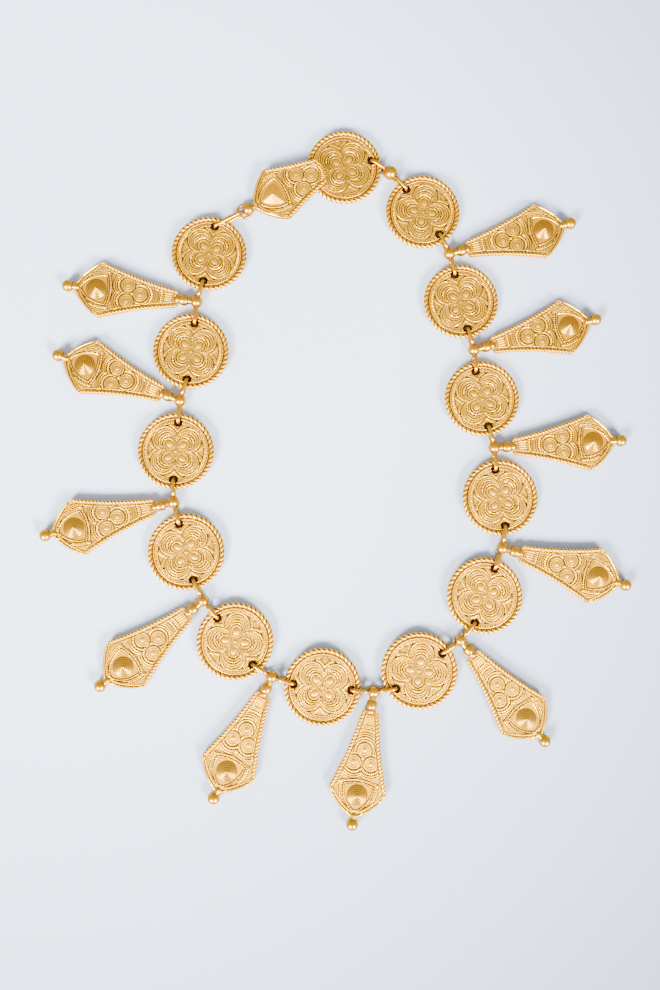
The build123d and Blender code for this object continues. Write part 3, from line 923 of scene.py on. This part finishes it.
def shield_relief(at, height):
    """The shield's edge, the ribs and arcs round it, and grooves inside the ribs and round the cone."""
    turn = np.arctan2(at.y, at.x - cone_place)
    ribs = rib_height * (bead_foot + (1 - bead_foot) * wave(turn, 2 * np.pi / rib_count))
    ribs = ribs * (at.shield > rib_inside) * (at.shield < rib_outside) * (at.x < rib_end)
    height = np.maximum(np.maximum(height, ribs), raised(at.shield, shield_edge))
    for line in shield_arcs:
        height = np.maximum(height, raised(at.shield, line) * (at.x > shield_arcs_from))
    from_cone = np.hypot(at.x - cone_place, at.y)
    return height - raised(at.shield, shield_groove) - raised(from_cone, cone_gutter)


def roundel_relief(at, height):
    """Three roundels, each with rings that are a power of a cosine of the radius, a low dome and a groove
    round it, and small bosses between them and beside the shield."""
    for r in (at.from_top, at.from_pair):
        rings = coil_height * wave(r - coil_start, coil_pitch) ** coil_round * (r > coil_from)
        inside = np.maximum(roundel_field + rings, roundel_dome * dome(r / roundel_dome_radius))
        height = np.where(r < roundel_radius, inside, height)
        in_groove = np.abs(r - roundel_groove.at) < roundel_groove.half_width
        height = np.where(in_groove, -roundel_groove.height, height)
    for boss in kite_bosses:
        from_middle = np.hypot(at.x - boss.x, at.side_y - boss.y)
        height = np.maximum(height, boss.height * ridge(from_middle, boss.radius))
    return height


def border_relief(at, height):
    """Clears the relief off the borders, then adds a groove and a ridge along the sides, and a cord-like
    edge and a row of beads along the foot."""
    height = np.where((at.to_side > relief_from_side) & (at.to_foot > relief_from_foot), height, 0)
    height = height - raised(at.to_side, side_groove) * (at.x < shoulder)
    beside = (at.x < shoulder - 1) & (at.x > side_ridge_from)
    height = np.maximum(height, raised(at.to_side, side_ridge) * beside)
    turns = np.cos(2 * np.pi * (at.x + at.side_y) / foot_wire_pitch)
    edge = raised(at.to_foot, foot_wire) * (0.75 + 0.25 * turns)
    edge = np.maximum(edge, bead_row(at.to_foot, at.x - at.side_y, foot_beads))
    return np.where((at.x > foot_from) & (at.to_foot < foot_border), edge, height)


def kite_relief(at):
    """The cast relief over the plate's top: each region is laid over the ones before it."""
    height = np.zeros_like(at.x)
    for region in (head_relief, arc_relief, scallop_relief, shield_relief, roundel_relief, border_relief):
        height = region(at, height)
    return height


def kite_lines(at):
    """The engraved lines, region over region as in the relief."""
    bow = head_bow * at.y * at.y * (at.x > bow_from)
    etched = engraved_at(at.x - bow, head_cuts)
    in_groove = roundel_radius + roundel_groove.half_width
    below = (at.x > pair_from) & (at.shield > shield_clear) & (at.from_pair < pair_outside)
    regions = [
        ((at.from_top < top_cuts_end) & (at.x < arcs_end), at.from_top, top_cuts),
        (at.x > pair_place[0], at.shield, shield_cuts),
        (below, at.from_pair, pair_cuts),
        (at.from_top < in_groove, at.from_top, roundel_cuts),
        (at.from_pair < in_groove, at.from_pair, roundel_cuts),
        (at.to_side < side_cuts_end, at.to_side, side_cuts),
        ((at.to_foot < foot_cuts_end) & (at.x > foot_from), at.to_foot, foot_cuts),
    ]
    for inside, distance, cuts in regions:
        etched = np.where(inside[..., None], engraved_at(distance, cuts), etched)
    return etched


def on_plate(x, y):
    """Whether a point lies between the plate's hollow sides, or on its foot."""
    return (np.abs(y) < half_width(x)) | (x > shoulder)


def kite_body(start, depth):
    """The plate: rows across it, bent to the head's arc at one end and the foot's point at the other."""
    u = np.linspace(0, 1, plate_rows + 1)[:, None]
    v = np.linspace(-1, 1, plate_columns + 1)
    along = start + depth + u * (shoulder - start - depth)
    to_foot = u**2 * (foot_edge(np.abs(v)) - shoulder)
    x = along + to_foot - (1 - u) ** head_bend_power * depth * (1 - v * v)
    y = v * half_width(along) * (1 - shoulder_pull * (1 - smooth_step(u, 0.93, 1.0)))
    at = kite_fields(x, y)
    height = kite_relief(at)
    points = np.stack([x, y, plate_top + height], axis=-1).reshape(-1, 3)
    quads = square_quads(plate_rows, plate_columns)[:, ::-1]
    return walled(points, quads, relief_wear_and_shade(height), kite_lines(at).reshape(-1, 3), plate_back, on_plate)


def side_rope(start, side):
    """The twisted wire along one long side, set in by its own radius."""
    x = np.linspace(start, side_rope_end, side_rope_steps + 1)
    y = side * (half_width(x) - side_rope_radius * side_rope_inset)
    heading = np.stack([np.gradient(x), np.gradient(y)], axis=1)
    heading /= np.linalg.norm(heading, axis=1, keepdims=True)
    right = np.stack([heading[:, 1], -heading[:, 0]], axis=1)
    centre = np.stack([x, y, np.full(len(x), rope_top - side_rope_radius)], axis=1)
    return twisted_wire(centre, right, side_rope_radius, side_rope_pitch, plate_back, False)


def turned_cone():
    """The cone, turned with fine grooves: a power just under one of the share of the way in from its
    foot, less a row of cosine grooves, and its foot sunk into the plate."""
    share = np.linspace(0, 1, cone_rings + 1)
    radius = np.maximum(cone_radius * (1 - share), 2 * pole)
    grooves = cone_groove_depth * (1 - wave(cone_grooves * share, 1)) * (share < cone_tip)
    height = cone_height * share**cone_round - grooves
    height[0] = -cone_sink
    made = turned(height, radius, cone_sides)
    upright = made.points[:, [2, 1, 0]] * [-1, 1, 1]
    # The grooves are painted darker: painted shade in them.
    worn = np.repeat(cone_worn - cone_groove_shade * grooves, cone_sides)
    return Part(upright, made.quads, worn, polished=True)


def neck():
    """The neck from ball to plate with its flattened bead, as one turned profile."""
    bead = np.linspace(0, np.pi, neck_sides // 2 + 1)
    along = np.concatenate([[0.0, 2.2], 4.5 - 1.5 * np.cos(bead), [6.3, 7.0, 7.5, 7.8]])
    radius = np.concatenate([[1.2, 1.2], 1.2 + 0.7 * np.sin(bead) ** 0.8, [1.35, 1.3, 1.05, 0.5]])
    return turned(along, radius, neck_sides)


def tip_collar():
    """The short stem between the plate's point and the tip ball, as a turned profile."""
    along = plate_end + np.array([-1.3, -0.9, -0.4, 0.1, 0.6, 1.1, 1.6])
    radius = np.array([0.4, 0.95, 1.2, 1.15, 1.1, 1.1, 1.2])
    return turned(along, radius, stem_sides)


drop_parts = [kite_body(plate_start, head_round)]
drop_parts += [side_rope(plate_start + head_round * 0.7, side) for side in (1, -1)]
drop_parts += [neck(), tip_collar(), ball(ball_radius)]
cone = turned_cone()
tip_ball = ball(tip_ball_radius)
for number, lie in enumerate(lies[1:-1], start=1):
    place = ball_place(number, ball_radius)
    lay = laid(place, axis_height, math.radians(lie.drop))
    placed_parts = [(part, lay) for part in drop_parts]
    placed_parts.append((cone, lay @ shifted(cone_place, 0, plate_top)))
    placed_parts.append((tip_ball, lay @ shifted(plate_end + tip_stem + tip_ball_radius, 0, 0)))
    placed_parts += loops_of(place, link_angles[2 * number + 1], ball_radius)
    piece(f"cast_drop_{number:02d}", f"drop_{number:02d}", placed_parts)

# END LINK AND CLASP PLATE
# The last disc hangs on a long oval wire link in a flat ring that is soldered to the clasp's ball. The
# clasp is the kite cut short, turned end for end and tilted, with a boss on top and a hook below.
clasp_start = plate_end - clasp_plate_length
clasp_depth = 0.9
crown_height = 1.8
crown_rise = 0.85
crown_inset = 1.1
crown_corners = 0.75
crown_steps = 24
crown_sides = 60
crown_sink = 0.25
crown_worn = 0.7
crown_cuts = 8
crown_cut = (0.45, 0.35)
crown_reach = 8
crown_tries = 800
ring_radius = 2.35
ring_steps = 40
ring_place = -(grip_distance + 0.15 + wire - ring_radius)
hook_bend = 0.9
hook_foot = 4.6
hook_steps = 8
hook_point = 0.01
hook_root = 0.6


def clasp_crown():
    """The three-sided boss in the clasp's shield: rings of the shield's own shape, whose corners get
    rounder while they rise by a power under one and close to a point, with engraved rings."""
    share = np.linspace(0, 1, crown_steps + 1)
    angle = all_round(crown_sides)
    reach_out = np.linspace(0, crown_reach, crown_tries + 1)
    x = cone_place + np.cos(angle)[:, None] * reach_out
    y = np.sin(angle)[:, None] * reach_out
    edge = reach_out[np.argmax(shield_field(x, y) > -crown_inset, axis=1)]
    rounder = edge.mean() + (edge - edge.mean()) * crown_corners
    ring = (edge + (rounder - edge) * share[:, None]) * (1 - share[:, None])
    height = crown_height * share**crown_rise - crown_sink * (share == 0)
    z = np.repeat(plate_top + height[:, None], crown_sides, axis=1)
    points = np.stack([cone_place + ring * np.cos(angle), ring * np.sin(angle), z], axis=-1)
    points = points.reshape(-1, 3)
    number = np.repeat(crown_cuts * share, crown_sides)
    etched = np.column_stack([number, np.tile(crown_cut, (len(number), 1))])
    quads = wrapped_quads(crown_steps, crown_sides)
    return Part(points, quads, np.full(len(points), crown_worn), etched=etched)


def flat_ring():
    """The wire ring soldered to the clasp's ball: a circle of wire that lies flat."""
    angle = all_round(ring_steps)
    outward = np.stack([np.cos(angle), np.sin(angle), np.zeros(ring_steps)], axis=1)
    up = np.tile([0.0, 0.0, 1.0], (ring_steps, 1))
    centre = outward * ring_radius + [ring_place, 0, 0]
    return tube(centre, up, outward, True)


def hook():
    """The hook under the plate's narrow end: straight down, a quarter turn, then back under the disc."""
    foot_x = hook_distance * math.cos(clasp_tilt)
    top_z = hook_distance * math.sin(clasp_tilt) + plate_back + hook_root
    bend = np.linspace(0, np.pi / 2, hook_steps + 1)
    end_x = foot_x - hook_foot
    x = np.concatenate([[foot_x], foot_x - hook_bend * (1 - np.cos(bend)), [end_x, end_x]])
    z = np.concatenate([[top_z], hook_bend * (1 - np.sin(bend)) - loop_rise, [-loop_rise, -loop_rise]])
    turn = np.concatenate([[0], bend, [np.pi / 2, np.pi / 2]])
    centre = np.stack([x, np.zeros(len(x)), z], axis=1)
    outward = np.stack([np.cos(turn), np.zeros(len(x)), -np.sin(turn)], axis=1)
    level = np.tile([0.0, 1.0, 0.0], (len(x), 1))
    radius = np.full(len(x), wire / 2)
    radius[-1] = hook_point
    return tube(centre, level, outward, False, radius)


def clasp_neck():
    """The stem between the clasp's ball and its plate, which is widest in the ball."""
    along, radius = np.array([[0.0, 2.0, 2.5, 3.2, 3.8], [1.0, 1.2, 1.0, 0.85, 0.7]])
    return turned(along, radius, stem_sides)


end_lie = laid(link_middles[-2], axis_height, link_angles[-2])
piece("smooth_end_link", "end_link", [(wire_loop(end_link_spacing), end_lie)])

tilt = np.eye(4)
tilt[0, 0] = tilt[2, 2] = math.cos(clasp_tilt)
tilt[0, 2] = -math.sin(clasp_tilt)
tilt[2, 0] = math.sin(clasp_tilt)
half_turn = np.diag([-1.0, -1.0, 1.0, 1.0])
half_turn[0, 3] = plate_end + tip_stem + ball_radius
clasp_angle = link_angles[-1]
clasp_place = ahead(link_middles[-1], grip_distance - clasp_pitch / 2, clasp_angle)
clasp_lay = laid(clasp_place, axis_height, clasp_angle)
plate_lay = clasp_lay @ tilt @ half_turn
clasp_parts = [kite_body(clasp_start, clasp_depth), clasp_crown()]
clasp_parts += [side_rope(clasp_start + clasp_depth, side) for side in (1, -1)]
placed_parts = [(part, plate_lay) for part in clasp_parts]
placed_parts += [(part, clasp_lay) for part in (clasp_neck(), ball(ball_radius), flat_ring(), hook())]
piece("cast_clasp_plate", "clasp_plate", placed_parts)

# STAGE
# A pale matt table whose colour is painted darker away from a painted pool of light behind on the left, lit
# by two soft lamps from in front on the left and the right and by a pale room, and seen from almost
# straight above.
lamp_colour = (1.0, 0.99, 0.97)
table_half = 1.5
painted_light_middle = (-0.1, 0.05, 0.0)
table_pale = (0.435, 0.505, 0.64, 1)
table_painted_dim = (0.15, 0.185, 0.24, 1)
painted_light_fade = (0.12, 0.325)
room_axis = (-0.1, -0.5, 0.86)
room_turn = (-0.3, 0.95)
room_light = (0.9, 1.45)


def table():
    """A flat sheet whose colour is painted darker with the distance from a painted pool of light, behind on
    the left.
    """
    material = bpy.data.materials.new("pale_table_painted_light")
    material.use_nodes = True
    tree = material.node_tree
    shader = tree.nodes["Principled BSDF"]
    shader.inputs["Roughness"].default_value = 0.85
    place = shader_node(tree, "TexCoord", {}).outputs["Object"]
    # Painted light: the floor's colour falls off from a bright patch, as light would.
    away = shader_node(tree, "VectorMath", {0: place, 1: painted_light_middle}, operation="DISTANCE")
    painted_dimming = mapped(tree, away.outputs["Value"], *painted_light_fade, 0.0, 1.0)
    ramp = shader_node(tree, "ValToRGB", {"Fac": painted_dimming})
    ramp.color_ramp.elements[0].color = table_pale
    ramp.color_ramp.elements[1].color = table_painted_dim
    tree.links.new(ramp.outputs["Color"], shader.inputs["Base Color"])
    mesh = bpy.data.meshes.new("table")
    corners = [(x * table_half, y * table_half, 0) for x, y in ((-1, -1), (1, -1), (1, 1), (-1, 1))]
    mesh.from_pydata(corners, [], [(0, 1, 2, 3)])
    mesh.materials.append(material)
    floor = put_in("table", mesh)


def lamp(name, azimuth, elevation, distance, size, power):
    """A square soft lamp that faces the middle of the table."""
    data = bpy.data.lights.new(name, "AREA")
    data.size = size
    data.energy = power
    data.color = lamp_colour
    made = put_in(name, data)
    turn, rise = math.radians(azimuth), math.radians(elevation)
    flat = distance * math.cos(rise)
    made.location = (flat * math.cos(turn), flat * math.sin(turn), distance * math.sin(rise))
    made.rotation_euler = (math.pi / 2 - rise, 0, turn + math.pi / 2)


def room():
    """A white room, brighter overhead and in front, by the cosine from its brightest side."""
    world = bpy.data.worlds.new("room")
    world.use_nodes = True
    tree = world.node_tree
    heading = shader_node(tree, "TexCoord", {}).outputs["Generated"]
    facing = shader_node(tree, "VectorMath", {0: heading, 1: room_axis}, operation="DOT_PRODUCT")
    background = tree.nodes["Background"]
    background.inputs["Color"].default_value = (1.0, 1.0, 1.0, 1)
    strength = mapped(tree, facing.outputs["Value"], *room_turn, *room_light)
    tree.links.new(strength, background.inputs["Strength"])
    bpy.context.scene.world = world


table()
lamp("left_lamp", azimuth=233, elevation=32, distance=3.0, size=1.0, power=660.0)
lamp("right_lamp", azimuth=307, elevation=32, distance=3.0, size=1.0, power=560.0)
room()

camera_data = bpy.data.cameras.new("camera")
camera_data.sensor_fit = "VERTICAL"
camera_data.sensor_height = 36.0
camera_data.lens = 36.36
camera_data.clip_start = 0.01
camera = put_in("camera", camera_data)
camera.location = (-0.01625, -0.03393, 0.35399)
camera.rotation_euler = (math.radians(4.175), math.radians(-2.18), math.radians(0.145))
bpy.context.scene.camera = camera
